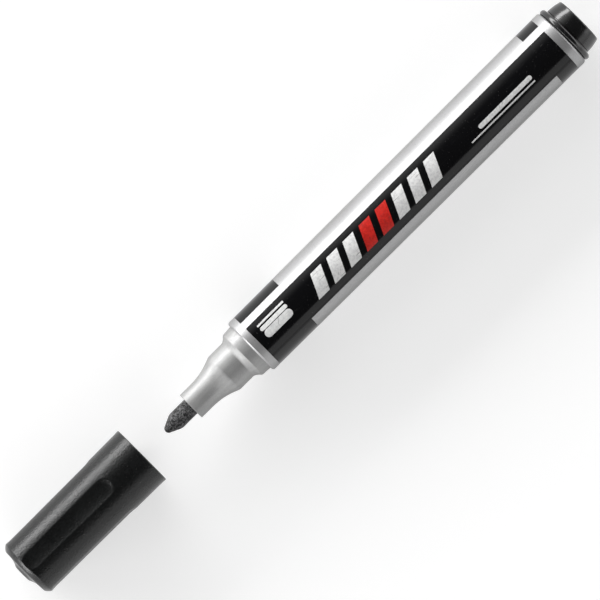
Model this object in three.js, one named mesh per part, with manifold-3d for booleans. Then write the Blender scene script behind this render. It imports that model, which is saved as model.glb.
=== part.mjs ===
// An alcohol marker with its cap pulled off: a tapered barrel, a stepped nib holder, a bullet nib,
// a film-wrapped fibre reservoir, an end plug, and a fluted cap with a seal sleeve inside.
//
// Millimetres. The marker lies along X, nib towards -X, with +Z up. The origin is on the surface
// that it lies on, half way between the cap's closed end and the end plug.
// Along the marker, 0 is the barrel's front face, and places behind it are positive.

import * as THREE from 'three';
import { mergeVertices } from 'three/addons/utils/BufferGeometryUtils.js';
import Module from 'manifold-3d';

const wasm = await Module();
wasm.setup();

// Roundness
const SIDES = 24;
const FLUTE_SIDES = 112;
const ARC_STEPS = 5;
const CURVE_STEPS = 9;
const CHAMFER_STEPS = 3;

// Fits
const PRESS_GAP = 0.05; // radial gap left between pieces that are pressed together
const SLIDE_GAP = 0.08; // radial gap between the cap and what it slides over
const SEAT_GAP = 0.1; // end gap where one piece stops against another

// Barrel
const BARREL_LENGTH = 99;
const BARREL_FRONT_RADIUS = 7.35;
const BARREL_FLARE = 0.27; // how much wider the barrel's radius is at the rear
const BARREL_FRONT_ROUND = 0.5;
const BARREL_REAR_ROUND = 0.6;
const SHOULDER_STEP = 0.88; // from the barrel's outside in to the holder's collar
const COLLAR_SEAT = 0.3; // width of the barrel's front face that the collar covers
const RIB_COUNT = 6;
const RIB_HEIGHT = 0.4;
const RIB_THICKNESS = 0.8;

// Nib holder, from the barrel's face forwards
const COLLAR_LENGTH = 2.55;
const COLLAR_TAPER = 0.15;
const COLLAR_DROP = 1.35; // from the collar in to the seal land
const COLLAR_EDGE = 0.12; // chamfer of the collar's front edge, each way
const FLARE_LENGTH = 1.55; // of the hollow curve from the collar to the land
const FLARE_HOLLOW = 0.45; // how far the curve stays level at the land, and at 45 degrees above
const LAND_LENGTH = 4;
const CONE_DROP = 1.58; // from the seal land in to the snout
const CONE_LENGTH = 7.5;
const CONE_SHOULDER = 0.8; // how far the cone's shoulder keeps the land's radius
const CONE_TAIL = 4.6; // how far back from the snout the cone's tail flattens out
const SNOUT_LENGTH = 3.3;
const SNOUT_EDGE = 0.15;
const SPIGOT_LENGTH = 7;
const SPIGOT_WALL = 1;
const SPIGOT_CHAMFER = 0.4;

// Nib
const NIB_RADIUS = 2.16;
const NIB_EXPOSURE = 8;
const NIB_TIP_RADIUS = 1;
const NIB_CONE_DEGREES = 25; // half angle of the bullet's cone
const NIB_SHOULDER = 0.9; // how far the cone's shoulder is rounded, each way
const NIB_TAIL_LENGTH = 2;
const NIB_TAIL_RADIUS = 0.9;
const NIB_SOAK = 6.5; // how far the nib goes into the reservoir
const AIR_CHANNEL = 0.3; // height of the ribs that grip the nib
const GRIP_COUNT = 5;
const GRIP_THICKNESS = 0.7;
const GRIP_SETBACK = 1.2; // from the holder's mouth to the grip ribs

// Reservoir
const FILM_THICKNESS = 0.15;
const REAR_AIR_SPACE = 3.6; // between the reservoir and the plug's spigot

// End plug
const FLANGE_INSET = 0.1; // the flange's radius, less than the barrel's rear radius
const FLANGE_WIDTH = 1.5;
const FLANGE_ROUND = 0.7;
const NECK_WIDTH = 0.3;
const NECK_DEPTH = 0.15;
const POST_LENGTH = 1.5;
const POST_LEAD_LENGTH = 1.7;
const POST_LEAD_DROP = 0.55;
const POST_END_ROUND = 0.4;
const PLUG_WALL = 1.1;
const PLUG_END_WALL = 1.3;
const PLUG_SPIGOT_LENGTH = 7;
const PLUG_BEAD = 0.1; // height of the two sealing beads
const PLUG_BEAD_WIDTH = 1;
const PLUG_BEAD_PITCH = 2.6;
const VANE_COUNT = 4;
const VANE_THICKNESS = 0.9;
const VANE_ROOT = 0.3; // how deep the vanes run into the plug's wall

// Cap
const CAP_LENGTH = 38;
const CAP_STAND_OFF = 34.3; // from the barrel's face to the cap's mouth, with the cap off
const CAP_MOUTH_WALL = 1.16;
const CAP_LIP_HEIGHT = 0.07; // the slight swelling round the cap's mouth
const CAP_LIP_LENGTH = 1.6;
const CAP_DRAFT = 0.22; // how much the radius falls from behind the lip to the closed end
const CAP_MOUTH_ROUND = 0.25;
const CAP_END_FLAT = 1.8; // radius of the flat on top of the closed end's crown
const CAP_CROWN = 0.86; // height of the crown
const CAP_END_CHAMFER = 1.3; // of the closed end's edge, each way
const CAP_END_SOFTNESS = 0.3; // how far that chamfer's two corners are rounded
const CAP_END_WALL = 1.8;
const CAP_MOUTH_DEPTH = 5.5;
const CAP_BORE_STEP = 0.3;
const CAP_RIB_COUNT = 6;
const CAP_RIB_HEIGHT = 0.25;
const CAP_RIB_THICKNESS = 0.8;
const CAP_RIB_ROOT = 0.25; // how deep the ribs run into the cap's wall and floor
const CAP_RIB_SETBACK = 7; // from the cap's mouth to the ribs that hold the seal sleeve
const FLUTE_COUNT = 4;
const FLUTE_FIRST_DEGREES = 5.3; // from straight up, towards +Y
const FLUTE_RADIUS = 9; // of the scoop, across the cap
const FLUTE_DEPTH = 0.6;
const FLUTE_END_ROUND = 2.3; // how far each end of a flute takes to run out
const FLUTE_MOUTH_SETBACK = 9.3;
const FLUTE_END_SETBACK = 1.5;

// Cap's seal sleeve
const SLEEVE_RIM_ROUND = 0.3;
const SLEEVE_FLOOR = 0.8;
const TIP_ROOM = 1.6; // between the nib and the sleeve's floor, with the cap on

// Colours, roughness and metalness
const SILVER_LACQUER = { color: 0xbfc0c2, roughness: 0.3, metalness: 0.75 };
const SILVER_PLASTIC = { color: 0xa9a9aa, roughness: 0.36, metalness: 0.6 };
const BLACK_PLASTIC = { color: 0x17181a, roughness: 0.34, metalness: 0 };
const BLACK_GLOSS = { color: 0x111214, roughness: 0.2, metalness: 0 };
const INKED_FIBRE = { color: 0x2b2b2d, roughness: 0.95, metalness: 0 };
const CLEAR_FILM = { color: 0xd8dade, roughness: 0.25, metalness: 0 };
const NATURAL_PLASTIC = { color: 0xdddcd6, roughness: 0.45, metalness: 0 };

// Worked out from the sizes above
const barrelRearRadius = BARREL_FRONT_RADIUS + BARREL_FLARE;
const collarRadius = BARREL_FRONT_RADIUS - SHOULDER_STEP;
const barrelBore = collarRadius - COLLAR_SEAT; // at the front; it widens as the outside does
const spigotRadius = barrelBore - PRESS_GAP;
const landRadius = collarRadius - COLLAR_DROP;
const snoutRadius = landRadius - CONE_DROP;
const landRear = -(COLLAR_LENGTH + FLARE_LENGTH);
const landFront = landRear - LAND_LENGTH;
const snoutRear = landFront - CONE_LENGTH;
const holderMouth = snoutRear - SNOUT_LENGTH;
const nibBore = NIB_RADIUS + PRESS_GAP + AIR_CHANNEL;
const nibTip = holderMouth - NIB_EXPOSURE;
const reservoirFront = SPIGOT_LENGTH + SEAT_GAP;
const nibRear = reservoirFront + NIB_SOAK;
const ribTipRadius = barrelBore - RIB_HEIGHT;
const filmRadius = ribTipRadius - PRESS_GAP;
const fibreRadius = filmRadius - FILM_THICKNESS - PRESS_GAP;
const plugFront = BARREL_LENGTH - PLUG_SPIGOT_LENGTH;
const reservoirRear = plugFront - REAR_AIR_SPACE;
const postRadius = collarRadius; // so that the cap also fits the rear
const postFront = BARREL_LENGTH + FLANGE_WIDTH + NECK_WIDTH;
const plugRear = postFront + POST_LENGTH + POST_LEAD_LENGTH + POST_END_ROUND;
const capMouthBore = collarRadius + SLIDE_GAP;
const capMouthRadius = capMouthBore + CAP_MOUTH_WALL;
const capLipRadius = capMouthRadius - CAP_LIP_HEIGHT;
const capEndRadius = capLipRadius - CAP_DRAFT;
const capBore = capMouthBore - CAP_BORE_STEP;
const capFloor = CAP_END_WALL - CAP_LENGTH; // the cap's places run back from its mouth at 0
const capRibTip = capBore - CAP_RIB_HEIGHT;
const sleeveRadius = capRibTip - PRESS_GAP;
const sleeveBore = landRadius + SLIDE_GAP;
const sleeveFloor = nibTip - TIP_ROOM;
const sleeveRim = landRear - SEAT_GAP;
const middle = (plugRear - CAP_STAND_OFF - CAP_LENGTH) / 2;
const restHeight = Math.max(capMouthRadius, barrelRearRadius);

// The barrel's bore at a place along it.
function boreAt(place) {
  return barrelBore + (BARREL_FLARE * place) / BARREL_LENGTH;
}

// Points of an arc, as [radius, place], between two angles in degrees about a centre. Its size
// along the marker is the same as its size across it, unless it is given.
function arc([radius, place], size, from, to, lengthwise = size) {
  const points = [];
  for (let i = 0; i <= ARC_STEPS; i += 1) {
    const angle = THREE.MathUtils.degToRad(from + ((to - from) * i) / ARC_STEPS);
    points.push([radius + size * Math.cos(angle), place + lengthwise * Math.sin(angle)]);
  }
  return points;
}

// Points of a cubic curve through four [radius, place] controls.
function curve(a, b, c, d, steps = CURVE_STEPS) {
  const controls = [a, b, c, d].map(([radius, place]) => new THREE.Vector2(radius, place));
  return new THREE.CubicBezierCurve(...controls).getPoints(steps).map((p) => [p.x, p.y]);
}

// A closed three.js geometry as a solid that can be joined and cut.
function solidOf(geometry) {
  const bare = geometry.index ? geometry.toNonIndexed() : geometry.clone();
  bare.deleteAttribute('normal');
  bare.deleteAttribute('uv');
  const { attributes, index } = mergeVertices(bare, 1e-4);
  const mesh = new wasm.Mesh({
    numProp: 3,
    vertProperties: attributes.position.array,
    triVerts: new Uint32Array(index.array),
  });
  return new wasm.Manifold(mesh);
}

// A solid turned about the marker's axis from an outline of [radius, place] points, which runs
// backwards along the outside. It starts and ends on the axis, or closes on itself. It has flats
// that touch the true round, one of them underneath, so that it lies as high as a round piece.
function turned(outline, sides = SIDES) {
  const corner = 1 / Math.cos(Math.PI / sides);
  const points = outline.map(([radius, place]) => new THREE.Vector2(Math.max(radius, 0) * corner, place));
  const closed = outline[0][0] > 0;
  if (closed) points.push(points[0].clone());
  return solidOf(new THREE.LatheGeometry(points, sides, Math.PI / sides, 2 * Math.PI));
}

// A straight or tapered rod between two places.
function rod(frontRadius, front, rearRadius, rear) {
  return turned([[0, front], [frontRadius, front], [rearRadius, rear], [0, rear]]);
}

// Flat bars that stand round the axis, between two radii and two places.
function bars(count, thickness, inner, outer, front, rear) {
  const solids = [];
  for (let i = 0; i < count; i += 1) {
    const bar = new THREE.BoxGeometry(outer - inner, rear - front, thickness);
    bar.translate((inner + outer) / 2, (front + rear) / 2, 0);
    bar.rotateY((2 * Math.PI * i) / count);
    solids.push(solidOf(bar));
  }
  return solids;
}

function joined(body, pieces) {
  return pieces.reduce((whole, piece) => whole.add(piece), body);
}

// A named mesh of a solid, with the crisp facets that its triangles have.
function meshOf(name, solid, finish) {
  const { vertProperties, triVerts } = solid.getMesh();
  const geometry = new THREE.BufferGeometry()
    .setAttribute('position', new THREE.BufferAttribute(vertProperties, 3))
    .setIndex(new THREE.BufferAttribute(triVerts, 1));
  geometry.computeVertexNormals();
  const mesh = new THREE.Mesh(geometry, new THREE.MeshStandardMaterial(finish));
  mesh.name = name;
  return mesh;
}

function barrel() {
  const front = BARREL_FRONT_ROUND;
  const rear = BARREL_REAR_ROUND;
  const outside = turned([
    [0, 0],
    ...arc([BARREL_FRONT_RADIUS - front, front], front, -90, 0),
    ...arc([barrelRearRadius - rear, BARREL_LENGTH - rear], rear, 0, 90),
    [0, BARREL_LENGTH],
  ]);
  const bore = rod(boreAt(-1), -1, boreAt(BARREL_LENGTH + 1), BARREL_LENGTH + 1);
  const root = (BARREL_FRONT_RADIUS - barrelBore) / 2;
  const ribZone = rod(
    boreAt(reservoirFront) + root, reservoirFront,
    boreAt(reservoirRear) + root, reservoirRear,
  );
  const ribs = bars(
    RIB_COUNT, RIB_THICKNESS, ribTipRadius, barrelRearRadius, reservoirFront, reservoirRear,
  ).map((rib) => rib.intersect(ribZone));
  return meshOf('barrel', joined(outside.subtract(bore), ribs), SILVER_LACQUER);
}

function nibHolder() {
  const collarFront = collarRadius - COLLAR_TAPER;
  const flareTop = collarFront - COLLAR_EDGE;
  const body = turned([
    [nibBore, holderMouth],
    [snoutRadius - SNOUT_EDGE, holderMouth],
    [snoutRadius, holderMouth + SNOUT_EDGE],
    ...curve(
      [snoutRadius, snoutRear],
      [snoutRadius, snoutRear + CONE_TAIL],
      [landRadius, landFront - CONE_SHOULDER],
      [landRadius, landFront],
    ),
    ...curve(
      [landRadius, landRear],
      [landRadius, landRear + FLARE_HOLLOW],
      [flareTop - FLARE_HOLLOW, -COLLAR_LENGTH - FLARE_HOLLOW],
      [flareTop, -COLLAR_LENGTH],
      ARC_STEPS,
    ),
    [collarFront, COLLAR_EDGE - COLLAR_LENGTH],
    [collarRadius, 0],
    [spigotRadius, 0],
    [spigotRadius, SPIGOT_LENGTH - SPIGOT_CHAMFER],
    [spigotRadius - SPIGOT_CHAMFER, SPIGOT_LENGTH],
    [spigotRadius - SPIGOT_WALL, SPIGOT_LENGTH],
    [spigotRadius - SPIGOT_WALL, 0],
    [nibBore, landRear],
  ]);
  const grips = bars(
    GRIP_COUNT, GRIP_THICKNESS, NIB_RADIUS + PRESS_GAP, (nibBore + snoutRadius) / 2,
    holderMouth + GRIP_SETBACK, (landFront + landRear) / 2,
  );
  return meshOf('nib_holder', joined(body, grips), SILVER_PLASTIC);
}

function nib() {
  const cone = THREE.MathUtils.degToRad(NIB_CONE_DEGREES);
  const roundRise = NIB_TIP_RADIUS * Math.cos(cone);
  const roundEnd = nibTip + NIB_TIP_RADIUS * (1 - Math.sin(cone));
  const corner = [NIB_RADIUS, roundEnd + (NIB_RADIUS - roundRise) / Math.tan(cone)];
  const onCone = [NIB_RADIUS - NIB_SHOULDER * Math.sin(cone), corner[1] - NIB_SHOULDER * Math.cos(cone)];
  return meshOf('nib', turned([
    ...arc([0, nibTip + NIB_TIP_RADIUS], NIB_TIP_RADIUS, -90, -NIB_CONE_DEGREES),
    ...curve(onCone, corner, corner, [NIB_RADIUS, corner[1] + NIB_SHOULDER], ARC_STEPS),
    [NIB_RADIUS, nibRear - NIB_TAIL_LENGTH],
    [NIB_TAIL_RADIUS, nibRear],
    [0, nibRear],
  ]), INKED_FIBRE);
}

function reservoirFibre() {
  const socket = NIB_RADIUS + PRESS_GAP;
  return meshOf('reservoir_fibre', turned([
    [0, nibRear + SEAT_GAP],
    [NIB_TAIL_RADIUS + PRESS_GAP, nibRear + SEAT_GAP],
    [socket, nibRear + SEAT_GAP - NIB_TAIL_LENGTH],
    [socket, reservoirFront],
    [fibreRadius, reservoirFront],
    [fibreRadius, reservoirRear],
    [0, reservoirRear],
  ]), INKED_FIBRE);
}

function reservoirFilm() {
  const inside = filmRadius - FILM_THICKNESS;
  return meshOf('reservoir_film', turned([
    [inside, reservoirFront],
    [filmRadius, reservoirFront],
    [filmRadius, reservoirRear],
    [inside, reservoirRear],
  ]), CLEAR_FILM);
}

function endPlug() {
  const bead = boreAt(plugFront) - PRESS_GAP;
  const spigot = bead - PLUG_BEAD;
  const hollow = postRadius - PLUG_WALL;
  const flange = barrelRearRadius - FLANGE_INSET;
  const flangeRear = BARREL_LENGTH + FLANGE_WIDTH;
  const leadRadius = postRadius - POST_LEAD_DROP;
  const sealBead = (place) => [
    [spigot, place - PLUG_BEAD_WIDTH / 2],
    [bead, place],
    [spigot, place + PLUG_BEAD_WIDTH / 2],
  ];
  const body = turned([
    [hollow, plugFront],
    [spigot - PLUG_BEAD, plugFront],
    ...sealBead(plugFront + PLUG_BEAD_PITCH / 2),
    ...sealBead(plugFront + (3 * PLUG_BEAD_PITCH) / 2),
    [spigot, BARREL_LENGTH],
    ...arc([flange - FLANGE_ROUND, BARREL_LENGTH + FLANGE_ROUND], FLANGE_ROUND, -90, 0),
    ...arc([flange - FLANGE_ROUND, flangeRear - FLANGE_ROUND], FLANGE_ROUND, 0, 90),
    [postRadius - NECK_DEPTH, flangeRear],
    [postRadius, postFront],
    [postRadius, postFront + POST_LENGTH],
    ...arc([leadRadius - POST_END_ROUND, plugRear - POST_END_ROUND], POST_END_ROUND, 0, 90),
    [0, plugRear],
    [0, plugRear - PLUG_END_WALL],
    [hollow, plugRear - PLUG_END_WALL],
    [hollow, plugFront],
  ]);
  const vanes = bars(
    VANE_COUNT, VANE_THICKNESS, 0, hollow + VANE_ROOT,
    reservoirRear + SEAT_GAP, plugRear - PLUG_END_WALL / 2,
  ).map((vane) => vane.intersect(rod(
    hollow + VANE_ROOT, reservoirRear, hollow + VANE_ROOT, plugRear,
  )));
  return meshOf('end_plug', joined(body, vanes), BLACK_GLOSS);
}

// A long round-ended cutter beside the cap, which leaves a scooped finger flute in it.
function fluteCutter(index) {
  const surface = (capLipRadius + capEndRadius) / 2;
  const halfWidth = Math.sqrt(FLUTE_RADIUS ** 2 - (FLUTE_RADIUS - FLUTE_DEPTH) ** 2);
  const nose = (FLUTE_RADIUS * FLUTE_END_ROUND) / halfWidth;
  const front = -CAP_LENGTH + FLUTE_END_SETBACK + FLUTE_END_ROUND;
  const rear = -FLUTE_MOUTH_SETBACK - FLUTE_END_ROUND;
  const cutter = turned([
    ...arc([0, front], FLUTE_RADIUS, -90, 0, nose),
    ...arc([0, rear], FLUTE_RADIUS, 0, 90, nose),
  ], FLUTE_SIDES);
  const spacing = 360 / FLUTE_COUNT;
  // Turned about the marker's axis, 0 degrees is towards -Y and 90 degrees is straight up.
  const angle = 90 + FLUTE_FIRST_DEGREES + index * spacing;
  return cutter
    .translate([surface + FLUTE_RADIUS - FLUTE_DEPTH, 0, 0])
    .rotate([0, -angle, 0]);
}

function capShell() {
  const round = CAP_MOUTH_ROUND;
  const crownSide = CAP_END_FLAT + CAP_CROWN;
  const crownFoot = CAP_CROWN - CAP_LENGTH;
  const faceRadius = capEndRadius - CAP_END_CHAMFER;
  const chamferRear = crownFoot + CAP_END_CHAMFER;
  const body = turned([
    [0, -CAP_LENGTH],
    ...curve(
      [CAP_END_FLAT, -CAP_LENGTH],
      [crownSide, -CAP_LENGTH],
      [crownSide, crownFoot],
      [faceRadius, crownFoot],
      ARC_STEPS,
    ),
    ...curve(
      [faceRadius, crownFoot],
      [faceRadius + CAP_END_SOFTNESS, crownFoot],
      [capEndRadius, chamferRear - CAP_END_SOFTNESS],
      [capEndRadius, chamferRear],
      CHAMFER_STEPS,
    ).slice(1),
    [capLipRadius, -CAP_LIP_LENGTH],
    ...arc([capMouthRadius - round, -round], round, 0, 90),
    [capMouthBore, 0],
    [capMouthBore, -CAP_MOUTH_DEPTH],
    [capBore, -CAP_MOUTH_DEPTH - CAP_BORE_STEP],
    [capBore, capFloor],
    [0, capFloor],
  ]);
  const ribs = bars(
    CAP_RIB_COUNT, CAP_RIB_THICKNESS, capRibTip, capBore + CAP_RIB_ROOT,
    capFloor - CAP_RIB_ROOT, -CAP_RIB_SETBACK,
  );
  const flutes = Array.from({ length: FLUTE_COUNT }, (_, index) => fluteCutter(index));
  const fluted = flutes.reduce((shell, flute) => shell.subtract(flute), body);
  return meshOf('cap_shell', joined(fluted, ribs), BLACK_PLASTIC);
}

function capSealSleeve() {
  const round = SLEEVE_RIM_ROUND;
  const foot = capFloor + SEAT_GAP;
  const skirtFront = sleeveFloor - SLEEVE_FLOOR;
  return meshOf('cap_seal_sleeve', turned([
    [0, skirtFront],
    [sleeveBore, skirtFront],
    [sleeveBore, foot],
    [sleeveRadius, foot],
    ...arc([sleeveRadius - round, sleeveRim - round], round, 0, 90),
    [sleeveBore + round, sleeveRim],
    [sleeveBore, sleeveRim - round],
    [sleeveBore, sleeveFloor],
    [0, sleeveFloor],
  ]), NATURAL_PLASTIC);
}

const cap = new THREE.Group();
cap.add(capShell(), capSealSleeve());
cap.position.y = -CAP_STAND_OFF;

const marker = new THREE.Group();
marker.add(barrel(), nibHolder(), nib(), reservoirFibre(), reservoirFilm(), endPlug(), cap);
marker.rotation.z = -Math.PI / 2;
marker.position.set(-middle, 0, restHeight);

const alcoholMarker = new THREE.Group();
alcoholMarker.add(marker);

export default alcoholMarker;
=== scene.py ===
# %% [markdown]
# An alcohol marker with its cap pulled off
#
# The marker is turned plastic from end to end: a silver-lacquered barrel with ink printed on it,
# a stepped nib holder, a felt nib, a plug in the rear and a fluted black cap.
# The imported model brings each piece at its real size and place. This script gives every visible
# piece a smooth mesh in the same place, with a finish of its own, and then the light and the camera.

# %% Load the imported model
import math

import bmesh
import bpy
from mathutils import Matrix, Vector, noise


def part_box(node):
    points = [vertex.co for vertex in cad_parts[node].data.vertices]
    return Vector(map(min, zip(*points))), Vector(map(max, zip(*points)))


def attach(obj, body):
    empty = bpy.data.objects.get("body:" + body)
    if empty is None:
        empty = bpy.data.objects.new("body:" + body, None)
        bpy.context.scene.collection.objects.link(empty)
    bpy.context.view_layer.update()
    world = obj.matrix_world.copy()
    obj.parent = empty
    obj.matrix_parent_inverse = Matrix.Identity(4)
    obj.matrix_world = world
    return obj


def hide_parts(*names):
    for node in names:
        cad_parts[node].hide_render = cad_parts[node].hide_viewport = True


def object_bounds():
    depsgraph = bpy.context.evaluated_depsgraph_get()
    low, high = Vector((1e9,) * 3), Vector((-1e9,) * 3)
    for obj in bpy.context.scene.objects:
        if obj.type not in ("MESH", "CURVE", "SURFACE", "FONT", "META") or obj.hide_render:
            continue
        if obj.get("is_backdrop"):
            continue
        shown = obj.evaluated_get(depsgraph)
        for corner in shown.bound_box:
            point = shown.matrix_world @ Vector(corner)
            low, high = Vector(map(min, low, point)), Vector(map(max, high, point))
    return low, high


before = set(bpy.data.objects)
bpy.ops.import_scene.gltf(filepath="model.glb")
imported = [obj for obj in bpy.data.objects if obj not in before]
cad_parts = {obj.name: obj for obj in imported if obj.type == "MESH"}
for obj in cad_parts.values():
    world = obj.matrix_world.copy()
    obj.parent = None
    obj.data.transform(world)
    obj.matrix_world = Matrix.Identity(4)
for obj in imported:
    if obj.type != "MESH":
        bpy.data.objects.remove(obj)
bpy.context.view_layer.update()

# %% [markdown]
# Sizes come from the model
#
# Each piece of a marker is round, so three numbers say where it is: where it starts along the
# axis, where it ends, and its radius. They could be typed in again, but measuring them keeps this
# script right when the model changes. From here on, lengths are in millimetres. A place on the
# marker is counted from the barrel's front face, and a place on the cap from the cap's mouth.

# %% Measure where each piece starts and ends
MM = 0.001


def measure(node, face):
    """Where a node starts and ends, counted from a face, and its radius, in millimetres."""
    low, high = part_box(node)
    return (low.x - face) / MM, (high.x - face) / MM, (high.y - low.y) / 2 / MM


barrel_low, barrel_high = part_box("barrel")
axis_height = (barrel_low.z + barrel_high.z) / 2
barrel_face = barrel_low.x
cap_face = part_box("cap_shell")[1].x
print("axis height", round(axis_height / MM, 3), "mm, cap mouth at", round(cap_face / MM, 2), "mm")

# %% [markdown]
# Turning a piece
#
# A lathe shape is an outline spun round an axis. Blender has a Screw modifier for that, but a small
# function gives more: the mesh is finished at once, and a second function may change the radius at
# any angle, which makes ribs, flutes and fibres without any cutting.
# An outline is a list of (place, radius) that runs rearwards along the outside. Angle 0 is the side
# that faces up, towards the camera, and positive angles go round to the front, towards -Y.

# %% Turn an outline into a mesh
ROUND_STEPS = 144
SHARP_DEGREES = 32


def spot(face, place, radius, angle):
    """A point of a turned piece, in metres."""
    return Vector((
        face + place * MM,
        -radius * MM * math.sin(angle),
        axis_height + radius * MM * math.cos(angle),
    ))


def turn(name, outline, face=barrel_face, shape=None, steps=ROUND_STEPS):
    """A turned mesh. Its outline starts and ends on the axis, or closes on itself."""
    angles = [2 * math.pi * i / steps for i in range(steps)]
    draft = bmesh.new()
    rings = []
    for place, radius in outline:
        if radius == 0:
            rings.append([draft.verts.new(spot(face, place, 0, 0))])
            continue
        ring = []
        for angle in angles:
            here = shape(place, radius, angle) if shape else radius
            ring.append(draft.verts.new(spot(face, place, here, angle)))
        rings.append(ring)
    following = rings[1:] if outline[0][1] == 0 else rings[1:] + rings[:1]
    for ring, following_ring in zip(rings, following):
        for i in range(steps):
            corners = [
                ring[i % len(ring)], ring[(i + 1) % len(ring)],
                following_ring[(i + 1) % len(following_ring)], following_ring[i % len(following_ring)],
            ]
            draft.faces.new(list(dict.fromkeys(corners)))
    bmesh.ops.recalc_face_normals(draft, faces=draft.faces)
    return as_object(name, draft)


def as_object(name, draft):
    """A smooth-shaded object from a draft, which keeps its real edges sharp."""
    mesh = bpy.data.meshes.new(name)
    draft.to_mesh(mesh)
    draft.free()
    mesh.shade_smooth()
    mesh.set_sharp_from_angle(angle=math.radians(SHARP_DEGREES))
    piece = bpy.data.objects.new(name, mesh)
    bpy.context.scene.collection.objects.link(piece)
    print(name, "has", len(mesh.polygons), "faces")
    return piece


# %% Draw the round stretches of an outline
ARC_STEPS = 10
CURVE_STEPS = 28


def arc(place, radius, size, start, stop):
    """An arc about (place, radius) between two angles in degrees: 0 is rearwards, 90 outwards."""
    points = []
    for i in range(ARC_STEPS + 1):
        angle = math.radians(start + (stop - start) * i / ARC_STEPS)
        points.append((place + size * math.cos(angle), radius + size * math.sin(angle)))
    return points


def curve(a, b, c, d):
    """A cubic Bezier curve from a to d, drawn towards b and c. All four are (place, radius)."""
    points = []
    for i in range(CURVE_STEPS + 1):
        t = i / CURVE_STEPS
        weights = ((1 - t) ** 3, 3 * t * (1 - t) ** 2, 3 * t ** 2 * (1 - t), t ** 3)
        points.append(tuple(sum(w * p[k] for w, p in zip(weights, (a, b, c, d))) for k in (0, 1)))
    return points


def fine(outline, spacing):
    """The same outline with points no further apart than a spacing."""
    points = outline[:1]
    for (x0, r0), (x1, r1) in zip(outline, outline[1:]):
        parts = max(1, math.ceil(math.hypot(x1 - x0, r1 - r0) / spacing))
        for i in range(1, parts + 1):
            points.append((x0 + (x1 - x0) * i / parts, r0 + (r1 - r0) * i / parts))
    return points


# %% [markdown]
# Finishes from nodes
#
# Every finish here is procedural, so it has the same detail at any distance. Effects that several
# finishes share are node groups with named inputs: moulded grain, the smudges, hair scratches and
# dust of handling, and the rub along an edge. A group only gives masks and heights. The shader
# itself stays in each material, where its gloss can be set plainly.

# %% Small helpers for node trees
def add(tree, kind, inputs=None, **settings):
    """A shader node with its settings, and its inputs as values or links."""
    node = tree.nodes.new("ShaderNode" + kind)
    for key, value in settings.items():
        setattr(node, key, value)
    for key, value in (inputs or {}).items():
        if isinstance(value, bpy.types.NodeSocket):
            tree.links.new(value, node.inputs[key])
        else:
            node.inputs[key].default_value = value
    return node


def in_millimetres(tree):
    """The place on the piece, in millimetres."""
    place = add(tree, "TexCoord").outputs["Object"]
    return add(tree, "VectorMath", {0: place, "Scale": 1 / MM}, operation="SCALE").outputs[0]


def noise_of(tree, place, stretch, detail=3.0, roughness=0.55):
    """Noise on a place that is first stretched along X, Y and Z."""
    drawn = add(tree, "VectorMath", {0: place, 1: stretch}, operation="MULTIPLY")
    settings = {"Vector": drawn.outputs[0], "Scale": 1.0, "Detail": detail, "Roughness": roughness}
    return add(tree, "TexNoise", settings).outputs["Fac"]


def between(tree, value, low, high, to_low=0.0, to_high=1.0):
    """A value spread from the range low to high over the range to_low to to_high."""
    inputs = {"Value": value, "From Min": low, "From Max": high, "To Min": to_low, "To Max": to_high}
    return add(tree, "MapRange", inputs, clamp=True).outputs["Result"]


def calculate(tree, operation, a, b, clamp=False):
    """What a calculation with two values gives, held between 0 and 1 if it is clamped."""
    return add(tree, "Math", {0: a, 1: b}, operation=operation, use_clamp=clamp).outputs[0]


def blend(tree, mask, a, b):
    """Colour a where the mask is 0, and b where it is 1. Colours are the Mix node's inputs 6 and 7."""
    mix = add(tree, "Mix", {0: mask, 6: a, 7: b}, data_type="RGBA")
    return mix.outputs[2]


def connect(tree, value, socket):
    """Links a value to a socket of a shader or of a group's output."""
    tree.links.new(value, socket)


# %% Helpers for node groups
def new_group(name, inputs, outputs):
    """An empty node group with named number inputs and outputs."""
    group = bpy.data.node_groups.new(name, "ShaderNodeTree")
    for label, value in inputs.items():
        socket = group.interface.new_socket(label, in_out="INPUT", socket_type="NodeSocketFloat")
        socket.default_value = value
    for label in outputs:
        group.interface.new_socket(label, in_out="OUTPUT", socket_type="NodeSocketFloat")
    return group, group.nodes.new("NodeGroupInput").outputs, group.nodes.new("NodeGroupOutput").inputs


def use(tree, group, **values):
    """A group placed in a material with its own values. Underscores stand for spaces."""
    node = add(tree, "Group", node_tree=group)
    for key, value in values.items():
        node.inputs[key.replace("_", " ")].default_value = value
    return node.outputs


# %% Moulded grain, as a spark-eroded mould leaves it
UNSTRETCHED = (1, 1, 1)


def in_steps(tree, place, size):
    """A place counted in steps of a size, so that a texture on it has features of that size."""
    share = calculate(tree, "DIVIDE", 1.0, size)
    return add(tree, "VectorMath", {0: place, "Scale": share}, operation="SCALE").outputs[0]


grain, grain_in, grain_out = new_group("moulded grain", {"Grain Size": 0.3}, ["Height", "Speckle"])
grain_place = in_steps(grain, in_millimetres(grain), grain_in["Grain Size"])
connect(grain, noise_of(grain, grain_place, UNSTRETCHED, detail=2.0, roughness=0.6), grain_out["Height"])
speckle = add(grain, "TexVoronoi", {"Vector": grain_place, "Scale": 1.0}).outputs["Color"]
connect(grain, add(grain, "SeparateColor", {0: speckle}).outputs[0], grain_out["Speckle"])

# %% Smudges, hair scratches and dust from handling
SCRATCH_SLANT_DEGREES = 38

handling, handling_in, handling_out = new_group(
    "handling", {"Smudge Size": 9.0, "Scratch Amount": 0.5}, ["Smudge", "Scratch", "Dust"]
)
place = in_millimetres(handling)
smudge_place = in_steps(handling, place, handling_in["Smudge Size"])
smudge = noise_of(handling, smudge_place, UNSTRETCHED, detail=4.0, roughness=0.6)
connect(handling, between(handling, smudge, low=0.35, high=0.7), handling_out["Smudge"])

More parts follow.
